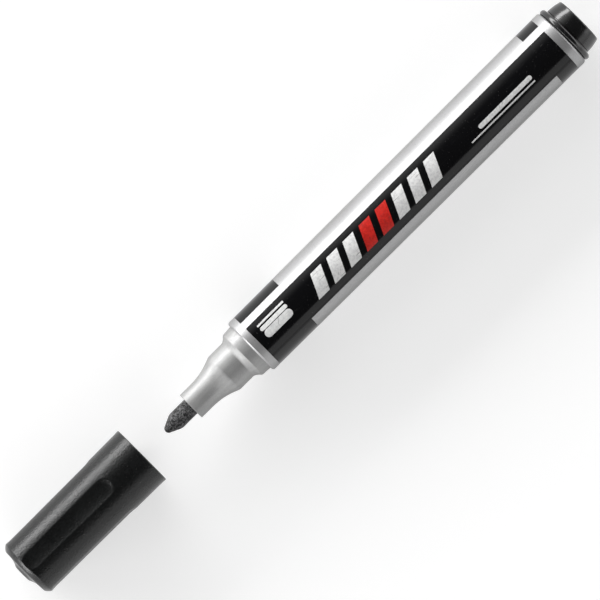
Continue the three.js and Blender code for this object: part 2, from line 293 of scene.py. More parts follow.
lengthwise = noise_of(handling, place, stretch=(0.22, 5.0, 5.0), detail=1.0)
lengthwise = between(handling, lengthwise, low=0.69, high=0.74)
slant = (0, 0, math.radians(SCRATCH_SLANT_DEGREES))
slanted_place = add(handling, "Mapping", {"Vector": place, "Rotation": slant}).outputs[0]
slanted = noise_of(handling, slanted_place, stretch=(6.0, 0.3, 0.8), detail=1.0)
slanted = between(handling, slanted, low=0.71, high=0.75)
scratches = calculate(handling, "MAXIMUM", lengthwise, slanted)
scratches = calculate(handling, "MULTIPLY", scratches, handling_in["Scratch Amount"])
connect(handling, scratches, handling_out["Scratch"])

dust = noise_of(handling, place, stretch=(3.3, 3.3, 3.3), detail=0.0)
connect(handling, between(handling, dust, low=0.77, high=0.82), handling_out["Dust"])

# %% Rub along a round edge, which is known by its place along the axis
rub, rub_in, rub_out = new_group("edge rub", {"Edge": 0.0, "Width": 0.4}, ["Mask"])
place = in_millimetres(rub)
along_axis = add(rub, "SeparateXYZ", {0: place}).outputs[0]
from_edge = calculate(rub, "ABSOLUTE", calculate(rub, "SUBTRACT", along_axis, rub_in["Edge"]), 0.0)
nearness = calculate(rub, "SUBTRACT", 1.0, calculate(rub, "DIVIDE", from_edge, rub_in["Width"]))
broken = between(rub, noise_of(rub, place, stretch=(1.6, 1.6, 1.6)), low=0.35, high=0.65)
connect(rub, calculate(rub, "MULTIPLY", nearness, broken, clamp=True), rub_out["Mask"])
print("shared effects:", grain.name, handling.name, rub.name)


# %% Start a finish
def new_finish(name, **plain):
    """A material whose shader has its even properties set, and whose other inputs are open."""
    material = bpy.data.materials.new(name)
    material.use_nodes = True
    shader = material.node_tree.nodes["Principled BSDF"]
    for key, value in plain.items():
        shader.inputs[key.replace("_", " ")].default_value = value
    print("mixing", name)
    return material, material.node_tree, shader.inputs


def bumped(tree, height, distance, strength=1.0, under=None):
    """A normal from a height that rises by a distance in millimetres, or sinks if it is negative."""
    inputs = {"Height": height, "Distance": distance * MM, "Strength": strength}
    if under is not None:
        inputs["Normal"] = under
    return add(tree, "Bump", inputs).outputs[0]


def dress(piece, material, body, slot, *nodes):
    """Gives a piece its finish and body, and hides the model's nodes it stands for. The slot is not used.
    """
    piece.data.materials.clear()
    piece.data.materials.append(material)
    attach(piece, body)
    if nodes:
        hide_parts(*nodes)
    return piece


# %% [markdown]
# The barrel
#
# The barrel is a plastic tube, a little wider at the rear, with a silver metallic lacquer. Metallic
# lacquer is clear paint with flat aluminium flakes in it. It is softer than chrome, because each
# flake lies at its own slight tilt. Cells of a Voronoi texture are a good stand-in for the flakes:
# each cell has a random number, which changes its tone and tilts it a little.

# %% Make the barrel
BARREL_FLARE = 0.27  # how much larger the radius is at the rear
BARREL_FRONT_ROUND = ((0, 0.42), (0.08, 0.336), (0.294, 0.02), (0.462, 0))  # place, drop
BARREL_REAR_ROUND = 0.6
BARREL_WALL = 1.18

barrel_length, barrel_rear_radius = measure("barrel", barrel_face)[1:]
barrel_front_radius = barrel_rear_radius - BARREL_FLARE
barrel_outline = [
    (0, barrel_front_radius - BARREL_WALL),
    *curve(*[(place, barrel_front_radius - drop) for place, drop in BARREL_FRONT_ROUND]),
    *arc(
        barrel_length - BARREL_REAR_ROUND, barrel_rear_radius - BARREL_REAR_ROUND,
        BARREL_REAR_ROUND, 90, 0,
    ),
    (barrel_length, barrel_rear_radius - BARREL_WALL),
]
barrel_tube = turn("barrel_tube", barrel_outline)

# %% Mix the silver lacquer
SILVER_EDGE_TINT = (0.05, 0.05, 0.05, 1)
FLAKE_DARK = (0.40, 0.40, 0.405, 1)
FLAKE_BRIGHT = (0.47, 0.47, 0.47, 1)
DUST_ON_SILVER = (0.30, 0.295, 0.29, 1)
SCRATCH_DULLING = 0.15

lacquer, tree, shader = new_finish(
    "silver lacquer", Metallic=0.62, Specular_Tint=SILVER_EDGE_TINT, Coat_Weight=0.12, Coat_Roughness=0.2
)
flakes = use(tree, grain, Grain_Size=0.11)
marks = use(tree, handling, Smudge_Size=14.0, Scratch_Amount=0.5)
flake_tone = blend(tree, flakes["Speckle"], FLAKE_DARK, FLAKE_BRIGHT)
connect(tree, blend(tree, marks["Dust"], flake_tone, DUST_ON_SILVER), shader["Base Color"])
smudged = between(tree, marks["Smudge"], 0, 1, to_low=0.38, to_high=0.45)
scratched = calculate(tree, "MULTIPLY", marks["Scratch"], SCRATCH_DULLING)
connect(tree, calculate(tree, "ADD", smudged, scratched), shader["Roughness"])
flake_tilt = bumped(tree, flakes["Speckle"], distance=0.003, strength=0.2)
scratch_cut = bumped(tree, marks["Scratch"], distance=-0.006, strength=0.6, under=flake_tilt)
connect(tree, scratch_cut, shader["Normal"])
dress(barrel_tube, lacquer, "marker", "silver_lacquer", "barrel")

# %% [markdown]
# Printed ink
#
# Black ink covers two long panels and a band at each end, with silver stripes left between them.
# The ink could be a mask in the lacquer's material. Real ink is a film that lies on the lacquer, with
# a crisp edge and its own gloss, so each print is a thin closed skin instead, made on the barrel's
# own surface. Its drawing is a list of patches, each a grid of (place, angle) points.

# %% Lay ink on the barrel
INK_FILM = 0.02  # how far one coat stands above the lacquer
INK_SKIN = 0.03  # from a print's top down, so that it reaches into what it lies on
MERGE_DISTANCE = 0.001


def barrel_radius_at(place):
    """The barrel's outside radius at a place along it."""
    return barrel_front_radius + BARREL_FLARE * place / barrel_length


def ink(name, patches, material, slot, coats=1):
    """A closed printed skin: its top, the same faces again underneath, and sides along its border.
    A patch is a list of rows, and a row a list of (place, angle) points."""
    draft = bmesh.new()
    for rows in patches:
        points = []
        for row in rows:
            line = []
            for place, angle in row:
                radius = barrel_radius_at(place) + coats * INK_FILM
                line.append(draft.verts.new(spot(barrel_face, place, radius, math.radians(angle))))
            points.append(line)
        for line, next_line in zip(points, points[1:]):
            for i in range(len(line) - 1):
                draft.faces.new((line[i], line[i + 1], next_line[i + 1], next_line[i]))
    bmesh.ops.remove_doubles(draft, verts=draft.verts, dist=MERGE_DISTANCE * MM)
    # The sides are made one by one, since an extrusion stores them in another order in each run.
    top = draft.faces[:]
    border = []
    for face in top:
        border += [(loop.vert, loop.link_loop_next.vert) for loop in face.loops if loop.edge.is_boundary]
    under = {}
    for vert in draft.verts[:]:
        outwards = Vector((0, vert.co.y, vert.co.z - axis_height)).normalized()
        under[vert] = draft.verts.new(vert.co - INK_SKIN * MM * outwards)
    for face in top:
        draft.faces.new([under[vert] for vert in face.verts])
    for vert, next_vert in border:
        draft.faces.new((vert, next_vert, under[next_vert], under[vert]))
    bmesh.ops.recalc_face_normals(draft, faces=draft.faces)
    return dress(as_object(name, draft), material, "marker", slot)


# %% Draw the patches of a print
INK_STEP_DEGREES = 2.0
STROKE_END_STEPS = 6
STROKE_ROW_SHARE = 0.25


def steps_between(low, high, step):
    """Evenly spaced values from low to high, no further apart than a step."""
    count = max(1, math.ceil(abs(high - low) / step))
    return [low + (high - low) * i / count for i in range(count + 1)]


def block(start, end, from_angle, to_angle, lean=0.0):
    """A patch between two places and two angles. It may lean along the barrel."""
    rows = []
    for angle in steps_between(from_angle, to_angle, INK_STEP_DEGREES):
        shift = lean * (angle - from_angle) / (to_angle - from_angle)
        rows.append([(start + shift, angle), (end + shift, angle)])
    return rows


def bar(start, end, angle, width):
    """A patch in the shape of a stroke with round ends, as wide as a width in millimetres."""
    half = width / 2
    degrees_per_mm = math.degrees(1 / barrel_radius_at((start + end) / 2))
    columns = []
    for i in range(STROKE_END_STEPS + 1):
        quarter = math.radians(90 * i / STROKE_END_STEPS)
        columns.append((start + half * (1 - math.cos(quarter)), half * math.sin(quarter)))
    columns += [(start + end - place, reach) for place, reach in reversed(columns)]
    rows = []
    for share in steps_between(-1, 1, STROKE_ROW_SHARE):
        rows.append([(place, angle + share * reach * degrees_per_mm) for place, reach in columns])
    return rows


# %% Mix the black print ink
PRINT_BLACK = (0.003, 0.003, 0.0036, 1)
PRINT_SCRATCH = (0.014, 0.014, 0.015, 1)
DUST_ON_BLACK = (0.03, 0.029, 0.028, 1)

black_ink, tree, shader = new_finish(
    "black print ink", Specular_IOR_Level=0.35, Coat_Weight=0.1, Coat_Roughness=0.15
)
marks = use(tree, handling, Smudge_Size=11.0, Scratch_Amount=0.6)
peel = use(tree, grain, Grain_Size=0.9)
dusted = blend(tree, marks["Dust"], PRINT_BLACK, DUST_ON_BLACK)
connect(tree, blend(tree, marks["Scratch"], dusted, PRINT_SCRATCH), shader["Base Color"])
connect(tree, between(tree, marks["Smudge"], 0, 1, to_low=0.1, to_high=0.15), shader["Roughness"])
connect(tree, bumped(tree, peel["Height"], distance=0.004, strength=0.5), shader["Normal"])

# %% Print the black panels and end bands
PANEL_TURNS = (0, 180)  # the same print on both sides
PANEL_DEGREES = (-29.6, 44.0)
BAND_END_DEGREES = 134.0
FRONT_RING = 2.1  # silver that is left bare at each end of the barrel
REAR_RING = 2.35
FRONT_BAND_END = 14.25
REAR_BAND_START = 7.3

band_places = [FRONT_RING, FRONT_BAND_END, barrel_length - REAR_BAND_START, barrel_length - REAR_RING]
black_patches = []
for half_turn in PANEL_TURNS:
    panel = [angle + half_turn for angle in PANEL_DEGREES]
    for start, end in zip(band_places, band_places[1:]):
        black_patches.append(block(start, end, *panel))
    for start, end in (band_places[:2], band_places[2:]):
        black_patches.append(block(start, end, panel[1], BAND_END_DEGREES + half_turn))
ink("print_black", black_patches, black_ink, "black_ink")

# %% [markdown]
# Plain figures on the panel
#
# A marker's panel carries white and red print. Here it holds only plain figures: leaning stripes
# in the middle, three strokes of different width at the front, and two lines at the rear. White
# ink needs a thick coat to cover black, so it stands a little higher and shows a faint grey through.

# %% Mix the white and red inks
FIGURE_SCRATCH = (0.08, 0.08, 0.08, 1)


def figure_ink(name, thin, thick):
    """An opaque print ink that covers black a little unevenly."""
    material, nodes, inputs = new_finish(name)
    cover = use(nodes, grain, Grain_Size=0.55)
    worn = use(nodes, handling, Smudge_Size=7.0, Scratch_Amount=0.7)
    covered = blend(nodes, between(nodes, cover["Height"], low=0.35, high=0.6), thin, thick)
    connect(nodes, blend(nodes, worn["Scratch"], covered, FIGURE_SCRATCH), inputs["Base Color"])
    smudged = between(nodes, worn["Smudge"], 0, 1, to_low=0.3, to_high=0.42)
    connect(nodes, smudged, inputs["Roughness"])
    connect(nodes, bumped(nodes, cover["Height"], distance=0.004, strength=0.5), inputs["Normal"])
    return material


white_ink = figure_ink("white print ink", thin=(0.70, 0.70, 0.70, 1), thick=(0.88, 0.88, 0.87, 1))
red_ink = figure_ink("red print ink", thin=(0.50, 0.016, 0.012, 1), thick=(0.68, 0.026, 0.018, 1))

# %% Print the figures
STRIPE_START = 21.0
STRIPE_PITCH = 5.1
STRIPE_WIDTH = 3.3
STRIPE_COUNT = 8
RED_STRIPES = (3, 4)
STRIPE_DEGREES = (-17.0, 27.0)
STRIPE_LEAN = -2.6
STROKE_PLACES = (4.2, 12.4)
STROKES = ((-17.0, 0.5), (-8.0, 1.0), (5.0, 2.0))  # angle, width
LINES = ((67.5, 87.5, 20.0, 0.35), (71.0, 87.5, 10.0, 1.1))  # start, end, angle, width
FIGURE_COATS = 2

white_patches, red_patches = [], []
for half_turn in PANEL_TURNS:
    low, high = (angle + half_turn for angle in STRIPE_DEGREES)
    for number in range(STRIPE_COUNT):
        start = STRIPE_START + STRIPE_PITCH * number
        stripe = block(start, start + STRIPE_WIDTH, low, high, STRIPE_LEAN)
        (red_patches if number in RED_STRIPES else white_patches).append(stripe)
    for angle, width in STROKES:
        white_patches.append(bar(*STROKE_PLACES, angle + half_turn, width))
    for start, end, angle, width in LINES:
        white_patches.append(bar(start, end, angle + half_turn, width))
ink("print_white", white_patches, white_ink, "white_ink", coats=FIGURE_COATS)
ink("print_red", red_patches, red_ink, "red_ink", coats=FIGURE_COATS)

# %% [markdown]
# The nib holder
#
# The holder is one moulding: a collar at the barrel, a hollow flare down to the land that the cap
# seals on, a cone, and a snout with the nib in it. Its silver is pigment in the plastic, so it is
# milkier than lacquer, with faint flow lines where the melt ran forwards through the mould.

# %% Size the nib holder
COLLAR_LENGTH = 2.55
COLLAR_TAPER = 0.15
COLLAR_DROP = 1.35  # from the collar down to the land
FLARE_LENGTH = 1.55
FLARE_HOLLOW = 0.45  # how far its curve runs level at the land, and at 45 degrees above
LAND_LENGTH = 4.0
CONE_DROP = 1.58  # from the land down to the snout
CONE_LENGTH = 7.5
CONE_SHOULDER = 0.8  # how far its curve runs level at the land
CONE_TAIL = 4.6  # how far its curve runs level at the snout
COLLAR_EDGE_ROUND = 0.4
EDGE = 0.15  # a small round or chamfer, which other moulded pieces share
NIB_CLEARANCE = 0.35
GRIP_COUNT = 5
GRIP_HALF_DEGREES = 9
GRIP_SETBACK = 1.2
GRIP_CHAMFER = 0.075
SPIGOT_WALL = 1.0
PRESS_GAP = 0.05

holder_mouth, spigot_end, collar_radius = measure("nib_holder", barrel_face)
nib_tip, nib_rear, nib_radius = measure("nib", barrel_face)
land_radius = collar_radius - COLLAR_DROP
snout_radius = land_radius - CONE_DROP
land_rear = -(COLLAR_LENGTH + FLARE_LENGTH)
land_front = land_rear - LAND_LENGTH
snout_rear = land_front - CONE_LENGTH
nib_bore = nib_radius + NIB_CLEARANCE
collar_front = collar_radius - COLLAR_TAPER
diagonal = math.sqrt(0.5)  # the cosine of 45 degrees, where the collar's edge round starts
flare_top = collar_front - (1 - diagonal) * COLLAR_EDGE_ROUND
spigot = barrel_front_radius - BARREL_WALL - PRESS_GAP
grip_front = holder_mouth + GRIP_SETBACK
print("holder from", round(holder_mouth, 2), "to", round(spigot_end, 2), "mm, nib to", round(nib_tip, 2))


# %% Turn the nib holder
def gripped(place, radius, angle):
    """The bore has small ribs that hold the nib."""
    turned = math.degrees(angle) % (360 / GRIP_COUNT)
    on_grip = min(turned, 360 / GRIP_COUNT - turned) < GRIP_HALF_DEGREES
    if radius == nib_bore and place >= grip_front and on_grip:
        return nib_radius + PRESS_GAP
    return radius


holder_outline = [
    (holder_mouth + EDGE, nib_bore),
    (holder_mouth, nib_bore + EDGE),
    *arc(holder_mouth + EDGE, snout_radius - EDGE, EDGE, 180, 90),
    *curve(
        (snout_rear, snout_radius), (snout_rear + CONE_TAIL, snout_radius),
        (land_front - CONE_SHOULDER, land_radius), (land_front, land_radius),
    ),
    *curve(
        (land_rear, land_radius), (land_rear + FLARE_HOLLOW, land_radius),
        (-COLLAR_LENGTH - FLARE_HOLLOW, flare_top - FLARE_HOLLOW), (-COLLAR_LENGTH, flare_top),
    ),
    *arc(
        diagonal * COLLAR_EDGE_ROUND - COLLAR_LENGTH, collar_front - COLLAR_EDGE_ROUND,
        COLLAR_EDGE_ROUND, 135, 90,
    )[1:],
    (0, collar_radius),
    (0, spigot),
    (spigot_end, spigot),
    (spigot_end, spigot - SPIGOT_WALL),
    (0, spigot - SPIGOT_WALL),
    (land_rear, nib_bore),
    (grip_front, nib_bore),
    (grip_front - GRIP_CHAMFER, nib_bore),
]
nose = turn("nose", holder_outline, shape=gripped)

# %% [markdown]
# The holder's silver
#
# Silver plastic is full of fine aluminium pigment. A metal shader would look too hard and dark for
# it, and a plain grey one too flat, so this one is a little over half metallic and quite rough.
# Specks from the shared grain are the pigment, and stretched noise gives the flow lines.

# %% Mix the silver plastic
PIGMENT_DARK = (0.35, 0.35, 0.35, 1)
PIGMENT_PALE = (0.43, 0.43, 0.425, 1)
PIGMENT_SPARKLE = (0.52, 0.52, 0.52, 1)

silver, tree, shader = new_finish("silver moulded plastic", Metallic=0.57, Specular_Tint=SILVER_EDGE_TINT)
pigment = use(tree, grain, Grain_Size=0.16)
marks = use(tree, handling, Smudge_Size=6.0)
place = in_millimetres(tree)
flow = noise_of(tree, place, stretch=(0.12, 0.9, 0.9), detail=3.0, roughness=0.6)
base = blend(tree, between(tree, flow, low=0.35, high=0.65), PIGMENT_DARK, PIGMENT_PALE)
sparkle = between(tree, pigment["Speckle"], 0, 1, to_high=0.35)
connect(tree, blend(tree, sparkle, base, PIGMENT_SPARKLE), shader["Base Color"])
connect(tree, between(tree, marks["Smudge"], 0, 1, to_low=0.47, to_high=0.55), shader["Roughness"])
ripple = bumped(tree, flow, distance=0.03, strength=0.25)
grained = bumped(tree, pigment["Height"], distance=0.006, strength=0.5, under=ripple)
connect(tree, grained, shader["Normal"])
dress(nose, silver, "marker", "silver_plastic", "nib_holder")

# %% [markdown]
# The nib
#
# The nib is a rod of fibres pressed together with resin and ground to a bullet. Along the rod the
# fibres show as fine grooves, and on the ground tip their cut ends show as specks. Both change
# the outline, so they are real relief in the mesh: the radius follows noise that is stretched
# along the rod and becomes even on the cone. The shader adds the finer specks.

# %% Size the nib
NIB_TIP_RADIUS = 1.0
NIB_CONE_DEGREES = 25
NIB_SHOULDER = 0.9  # how far the corner between cone and rod is rounded, both ways
NIB_TAIL_LENGTH = 2.0
NIB_TAIL_RADIUS = 0.9
NIB_SPACING = 0.11
NIB_FINE_TAIL = 1.0  # how far the fine mesh runs into the holder
FIBRE_RELIEF = 0.035
FIBRE_SINK = 0.1  # lowers the relief, so that its peaks stay near the rod's own radius
GROOVES_ALONG = 0.5  # these three are steps of noise for each millimetre
GROOVES_ACROSS = 3.6
SPECKS_ALL_WAYS = 3.4
SPECKS_SHIFT = Vector((40, 0, 0))
GROUND_FADE = 2.0  # the length over which grooves give way to specks

cone = math.radians(NIB_CONE_DEGREES)
round_end = nib_tip + NIB_TIP_RADIUS * (1 - math.sin(cone))
cone_corner = round_end + (nib_radius - NIB_TIP_RADIUS * math.cos(cone)) / math.tan(cone)
on_cone = (cone_corner - NIB_SHOULDER * math.cos(cone), nib_radius - NIB_SHOULDER * math.sin(cone))
on_rod = (cone_corner + NIB_SHOULDER, nib_radius)
print("the nib's cone is", round(cone_corner - nib_tip, 2), "mm long")


# %% Turn the nib
def felted(place, radius, angle):
    """Grooves along the rod, which give way to specks on the ground cone."""
    y = radius * math.sin(angle)
    z = radius * math.cos(angle)
    on_tip = min(1.0, max(0.0, (cone_corner + GROUND_FADE / 2 - place) / GROUND_FADE))
    grooves = noise.noise(Vector((place * GROOVES_ALONG, y * GROOVES_ACROSS, z * GROOVES_ACROSS)))
    speck_place = Vector((place * SPECKS_ALL_WAYS, y * SPECKS_ALL_WAYS, z * SPECKS_ALL_WAYS))
    specks = noise.noise(speck_place + SPECKS_SHIFT)
    relief = (1 - on_tip) * grooves + on_tip * specks - FIBRE_SINK
    return radius + FIBRE_RELIEF * min(1.0, radius) * relief


tip_arc = arc(nib_tip + NIB_TIP_RADIUS, 0, NIB_TIP_RADIUS, 180, 90 + NIB_CONE_DEGREES)
tip_arc[0] = (nib_tip, 0)  # exactly on the axis, which the arc only nearly meets
nib_outline = fine([
    *tip_arc,
    *curve(on_cone, (cone_corner, nib_radius), (cone_corner, nib_radius), on_rod),
    (holder_mouth + NIB_FINE_TAIL, nib_radius),
], NIB_SPACING)
nib_outline += [(nib_rear - NIB_TAIL_LENGTH, nib_radius), (nib_rear, NIB_TAIL_RADIUS), (nib_rear, 0)]
felt_nib = turn("felt_nib", nib_outline, shape=felted)

# %% [markdown]
# The nib's felt
#
# Felt soaked in black ink is dark, but its fibre ends catch the light as grey specks. One noise
# would spread them evenly, so there are three: stretched fibres, specks, and a mottle that says
# where the specks are strong. A little sheen stands for fuzz that is too fine for the mesh.

# %% Mix the inked felt
FELT_DARK = (0.012, 0.012, 0.013, 1)
FELT_PALE = (0.27, 0.27, 0.273, 1)

felt, tree, shader = new_finish("inked felt", Specular_IOR_Level=0.25, Sheen_Weight=0.15)
place = in_millimetres(tree)
fibres = noise_of(tree, place, stretch=(1.2, 7.0, 7.0), detail=4.0, roughness=0.65)
specks = noise_of(tree, place, stretch=(2.2, 2.2, 2.2), detail=3.0, roughness=0.75)
mottle = noise_of(tree, place, stretch=(0.9, 0.9, 0.9), detail=2.0)
speckled = between(tree, specks, low=0.40, high=0.68)
mottled = between(tree, mottle, low=0.3, high=0.7, to_low=0.5)
tone = calculate(tree, "MULTIPLY", speckled, mottled)
connect(tree, blend(tree, tone, FELT_DARK, FELT_PALE), shader["Base Color"])
connect(tree, between(tree, specks, 0.3, 0.7, to_low=0.9, to_high=0.6), shader["Roughness"])
weave = calculate(tree, "ADD", fibres, specks)
connect(tree, bumped(tree, weave, distance=0.09, strength=0.8), shader["Normal"])
dress(felt_nib, felt, "marker", "inked_felt", "nib")

# %% [markdown]
# The end plug
#
# A glossy black plug closes the rear. A round bead stands between the barrel and the plug's post,
# and the post is as wide as the holder's collar, so the cap can be put on it. The post tapers
# slightly to lead the cap on, and its flat face has the small dimple of the mould's gate.

# %% Make the end plug
FLANGE_WIDTH = 1.5
FLANGE_ROUND = 0.7
NECK_WIDTH = 0.3
NECK_DEPTH = 0.15
NECK_CHAMFER = 0.1
POST_BEND = 1.8  # the curve of the taper is drawn towards this place and drop
POST_BEND_DROP = 0.12
POST_LEAD_DROP = 0.47
POST_END_ROUND = 0.4
PLUG_WALL = 1.1
PLUG_GAP = 0.15
GATE_RADIUS = 0.9
GATE_DEPTH = 0.2

plug_front, plug_rear, flange_radius = measure("end_plug", barrel_face)
flange_rear = barrel_length + FLANGE_WIDTH
post_front = flange_rear + NECK_WIDTH
post_radius = collar_radius
post_bend = (post_front + POST_BEND, post_radius - POST_BEND_DROP)
lead_radius = post_radius - POST_LEAD_DROP
plug_spigot = barrel_front_radius - BARREL_WALL + BARREL_FLARE - PLUG_GAP
plug_outline = [
    (plug_front, 0),
    (plug_front, plug_spigot - PLUG_WALL),
    (plug_front, plug_spigot),
    (barrel_length, plug_spigot),
    *arc(barrel_length + FLANGE_ROUND, flange_radius - FLANGE_ROUND, FLANGE_ROUND, 180, 90),
    *arc(flange_rear - FLANGE_ROUND, flange_radius - FLANGE_ROUND, FLANGE_ROUND, 90, 0),
    (flange_rear, post_radius - NECK_DEPTH),
    (post_front - NECK_CHAMFER, post_radius - NECK_DEPTH),
    *curve((post_front, post_radius), post_bend, post_bend, (plug_rear - POST_END_ROUND, lead_radius)),
    *arc(plug_rear - POST_END_ROUND, lead_radius - POST_END_ROUND, POST_END_ROUND, 90, 0)[1:],
    (plug_rear, GATE_RADIUS + GATE_DEPTH),
    (plug_rear - GATE_DEPTH, GATE_RADIUS),
    (plug_rear - GATE_DEPTH, 0),
]
plug = turn("plug", plug_outline)

# %% [markdown]
# The plug's gloss
#
# The plug comes out of a polished mould, so it is glossy, with a faint orange peel where the melt
# shrank. With one even roughness it would look like glass, so smudges change it a little. Dust and
# scratches show grey on black, and the end's edge, which the marker may stand on, is rubbed paler.

# %% Mix the glossy black plastic
GLOSS_BLACK = (0.004, 0.004, 0.0045, 1)
GLOSS_RUBBED = (0.06, 0.06, 0.062, 1)
GLOSS_SCRATCH = (0.04, 0.04, 0.042, 1)

gloss_black, tree, shader = new_finish("glossy black plastic", Specular_IOR_Level=0.75)
marks = use(tree, handling, Smudge_Size=5.0, Scratch_Amount=0.7)
orange_peel = use(tree, grain, Grain_Size=1.1)
edge_rub = use(tree, rub, Edge=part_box("end_plug")[1].x / MM - POST_END_ROUND / 2, Width=0.35)
dusted = blend(tree, marks["Dust"], GLOSS_BLACK, DUST_ON_BLACK)
rubbed = blend(tree, between(tree, edge_rub["Mask"], 0, 1, to_high=0.6), dusted, GLOSS_RUBBED)
connect(tree, blend(tree, marks["Scratch"], rubbed, GLOSS_SCRATCH), shader["Base Color"])
connect(tree, between(tree, marks["Smudge"], 0, 1, to_low=0.18, to_high=0.24), shader["Roughness"])
connect(tree, bumped(tree, orange_peel["Height"], distance=0.006, strength=0.4), shader["Normal"])
dress(plug, gloss_black, "marker", "black_gloss_plastic", "end_plug")

# %% [markdown]
# The cap
#
# The cap is a satin black shell whose closed end has a low crown inside a chamfered edge. Four
# long scooped flutes run along it for the fingers. The flutes could be cut with booleans, but a
# formula is cleaner. Each flute is the mark of a long round-ended scoop that lies beside the cap,
# so at every angle the shell's radius is the smaller of the cap's own radius and the distance to
# the scoop. Taking that minimum softly rounds the flute's edges, as a mould does.

# %% Size the cap's shell
CAP_LIP_HEIGHT = 0.07
CAP_LIP_LENGTH = 1.6
CAP_DRAFT = 0.22
CAP_MOUTH_WALL = 1.16
CAP_MOUTH_ROUND = 0.25
CAP_END_FLAT = 1.8
CAP_CROWN = 0.86
CAP_END_CHAMFER = 1.3
CAP_END_SOFTNESS = 0.3
CAP_END_WALL = 1.8
CAP_MOUTH_DEPTH = 5.5
CAP_BORE_STEP = 0.3
FLUTE_COUNT = 4
FLUTE_FIRST_DEGREES = -5.3
FLUTE_RADIUS = 9.0
FLUTE_DEPTH = 0.6
FLUTE_END_ROUND = 2.3
FLUTE_MOUTH_SETBACK = 9.3  # where a flute ends, counted from the cap's mouth
FLUTE_END_SETBACK = 1.5  # and from its closed end
FLUTE_EDGE = 0.05  # how softly a flute meets the shell
CAP_SPACING = 0.2
CAP_STEPS = 360

cap_front, _, cap_mouth_radius = measure("cap_shell", cap_face)
cap_lip_radius = cap_mouth_radius - CAP_LIP_HEIGHT
cap_end_radius = cap_lip_radius - CAP_DRAFT
cap_mouth_bore = cap_mouth_radius - CAP_MOUTH_WALL
cap_bore = cap_mouth_bore - CAP_BORE_STEP
cap_floor = cap_front + CAP_END_WALL
bore_limit = cap_bore + 2 * CAP_BORE_STEP + FLUTE_EDGE
scoop_axis = (cap_lip_radius + cap_end_radius) / 2 + FLUTE_RADIUS - FLUTE_DEPTH
flute_half_width = math.sqrt(FLUTE_RADIUS ** 2 - (FLUTE_RADIUS - FLUTE_DEPTH) ** 2)
scoop_nose = FLUTE_RADIUS * FLUTE_END_ROUND / flute_half_width
scoop_front = cap_front + FLUTE_END_SETBACK + FLUTE_END_ROUND
scoop_rear = -FLUTE_MOUTH_SETBACK - FLUTE_END_ROUND
print("flutes are", round(2 * flute_half_width, 2), "mm wide, in a cap", round(-cap_front, 2), "mm long")


# %% Let the scoops cut the cap
def scoop_distance(place, angle):
    """How far from the axis the nearest scoop is, or None where it isn't met."""
    beyond = max(scoop_front - place, place - scoop_rear, 0) / scoop_nose
    if beyond >= 1:
        return None
    scoop = FLUTE_RADIUS * math.sqrt(1 - beyond ** 2)
    spacing = 2 * math.pi / FLUTE_COUNT
    off = (angle - math.radians(FLUTE_FIRST_DEGREES) + spacing / 2) % spacing - spacing / 2
    reach = scoop ** 2 - (scoop_axis * math.sin(off)) ** 2
    if reach <= 0:
        return None
    return scoop_axis * math.cos(off) - math.sqrt(reach)


def fluted(place, radius, angle):
    """The shell's radius, as the smooth minimum of its own and the scoop's. The bore stays round."""
    if radius < bore_limit:
        return radius
    distance = scoop_distance(place, angle)
    if distance is None:
        return radius
    overlap = max(0.0, 1 - abs(distance - radius) / (2 * FLUTE_EDGE))
    return min(distance, radius) - overlap ** 2 * FLUTE_EDGE / 2


# %% Turn the cap's shell
crown_side = CAP_END_FLAT + CAP_CROWN
crown_foot = cap_front + CAP_CROWN
face_radius = cap_end_radius - CAP_END_CHAMFER
chamfer_rear = crown_foot + CAP_END_CHAMFER
outside = [
    *curve(
        (cap_front, CAP_END_FLAT), (cap_front, crown_side),
        (crown_foot, crown_side), (crown_foot, face_radius),
    ),
    *curve(
        (crown_foot, face_radius), (crown_foot, face_radius + CAP_END_SOFTNESS),
        (chamfer_rear - CAP_END_SOFTNESS, cap_end_radius), (chamfer_rear, cap_end_radius),
    )[1:],
    (-CAP_LIP_LENGTH, cap_lip_radius),
    *arc(-CAP_MOUTH_ROUND, cap_mouth_radius - CAP_MOUTH_ROUND, CAP_MOUTH_ROUND, 90, 0),
]
inside = [
    (0, cap_mouth_bore + EDGE),
    (-EDGE, cap_mouth_bore),
    (-CAP_MOUTH_DEPTH, cap_mouth_bore),
    (-CAP_MOUTH_DEPTH - CAP_BORE_STEP, cap_bore),
    (cap_floor, cap_bore),
    (cap_floor, 0),
]
cap_outline = [(cap_front, 0)] + fine(outside, CAP_SPACING) + inside
cap = turn("cap", cap_outline, face=cap_face, shape=fluted, steps=CAP_STEPS)

# %% [markdown]
# The cap's satin
#
# The cap's mould is spark-eroded, which leaves an even grain that spreads the highlights. A high
# roughness would spread them too, but look flat from near by, so the grain is a bump and the
# roughness stays moderate. Handling rubs the mouth's edge and the closed end paler and smoother.

# %% Mix the satin black plastic
SATIN_DARK = (0.003, 0.0033, 0.0033, 1)
SATIN_PALE = (0.007, 0.0076, 0.0076, 1)
SATIN_RUBBED = (0.025, 0.025, 0.026, 1)
SATIN_SCRATCH = (0.016, 0.016, 0.017, 1)
RUB_POLISH = 0.03

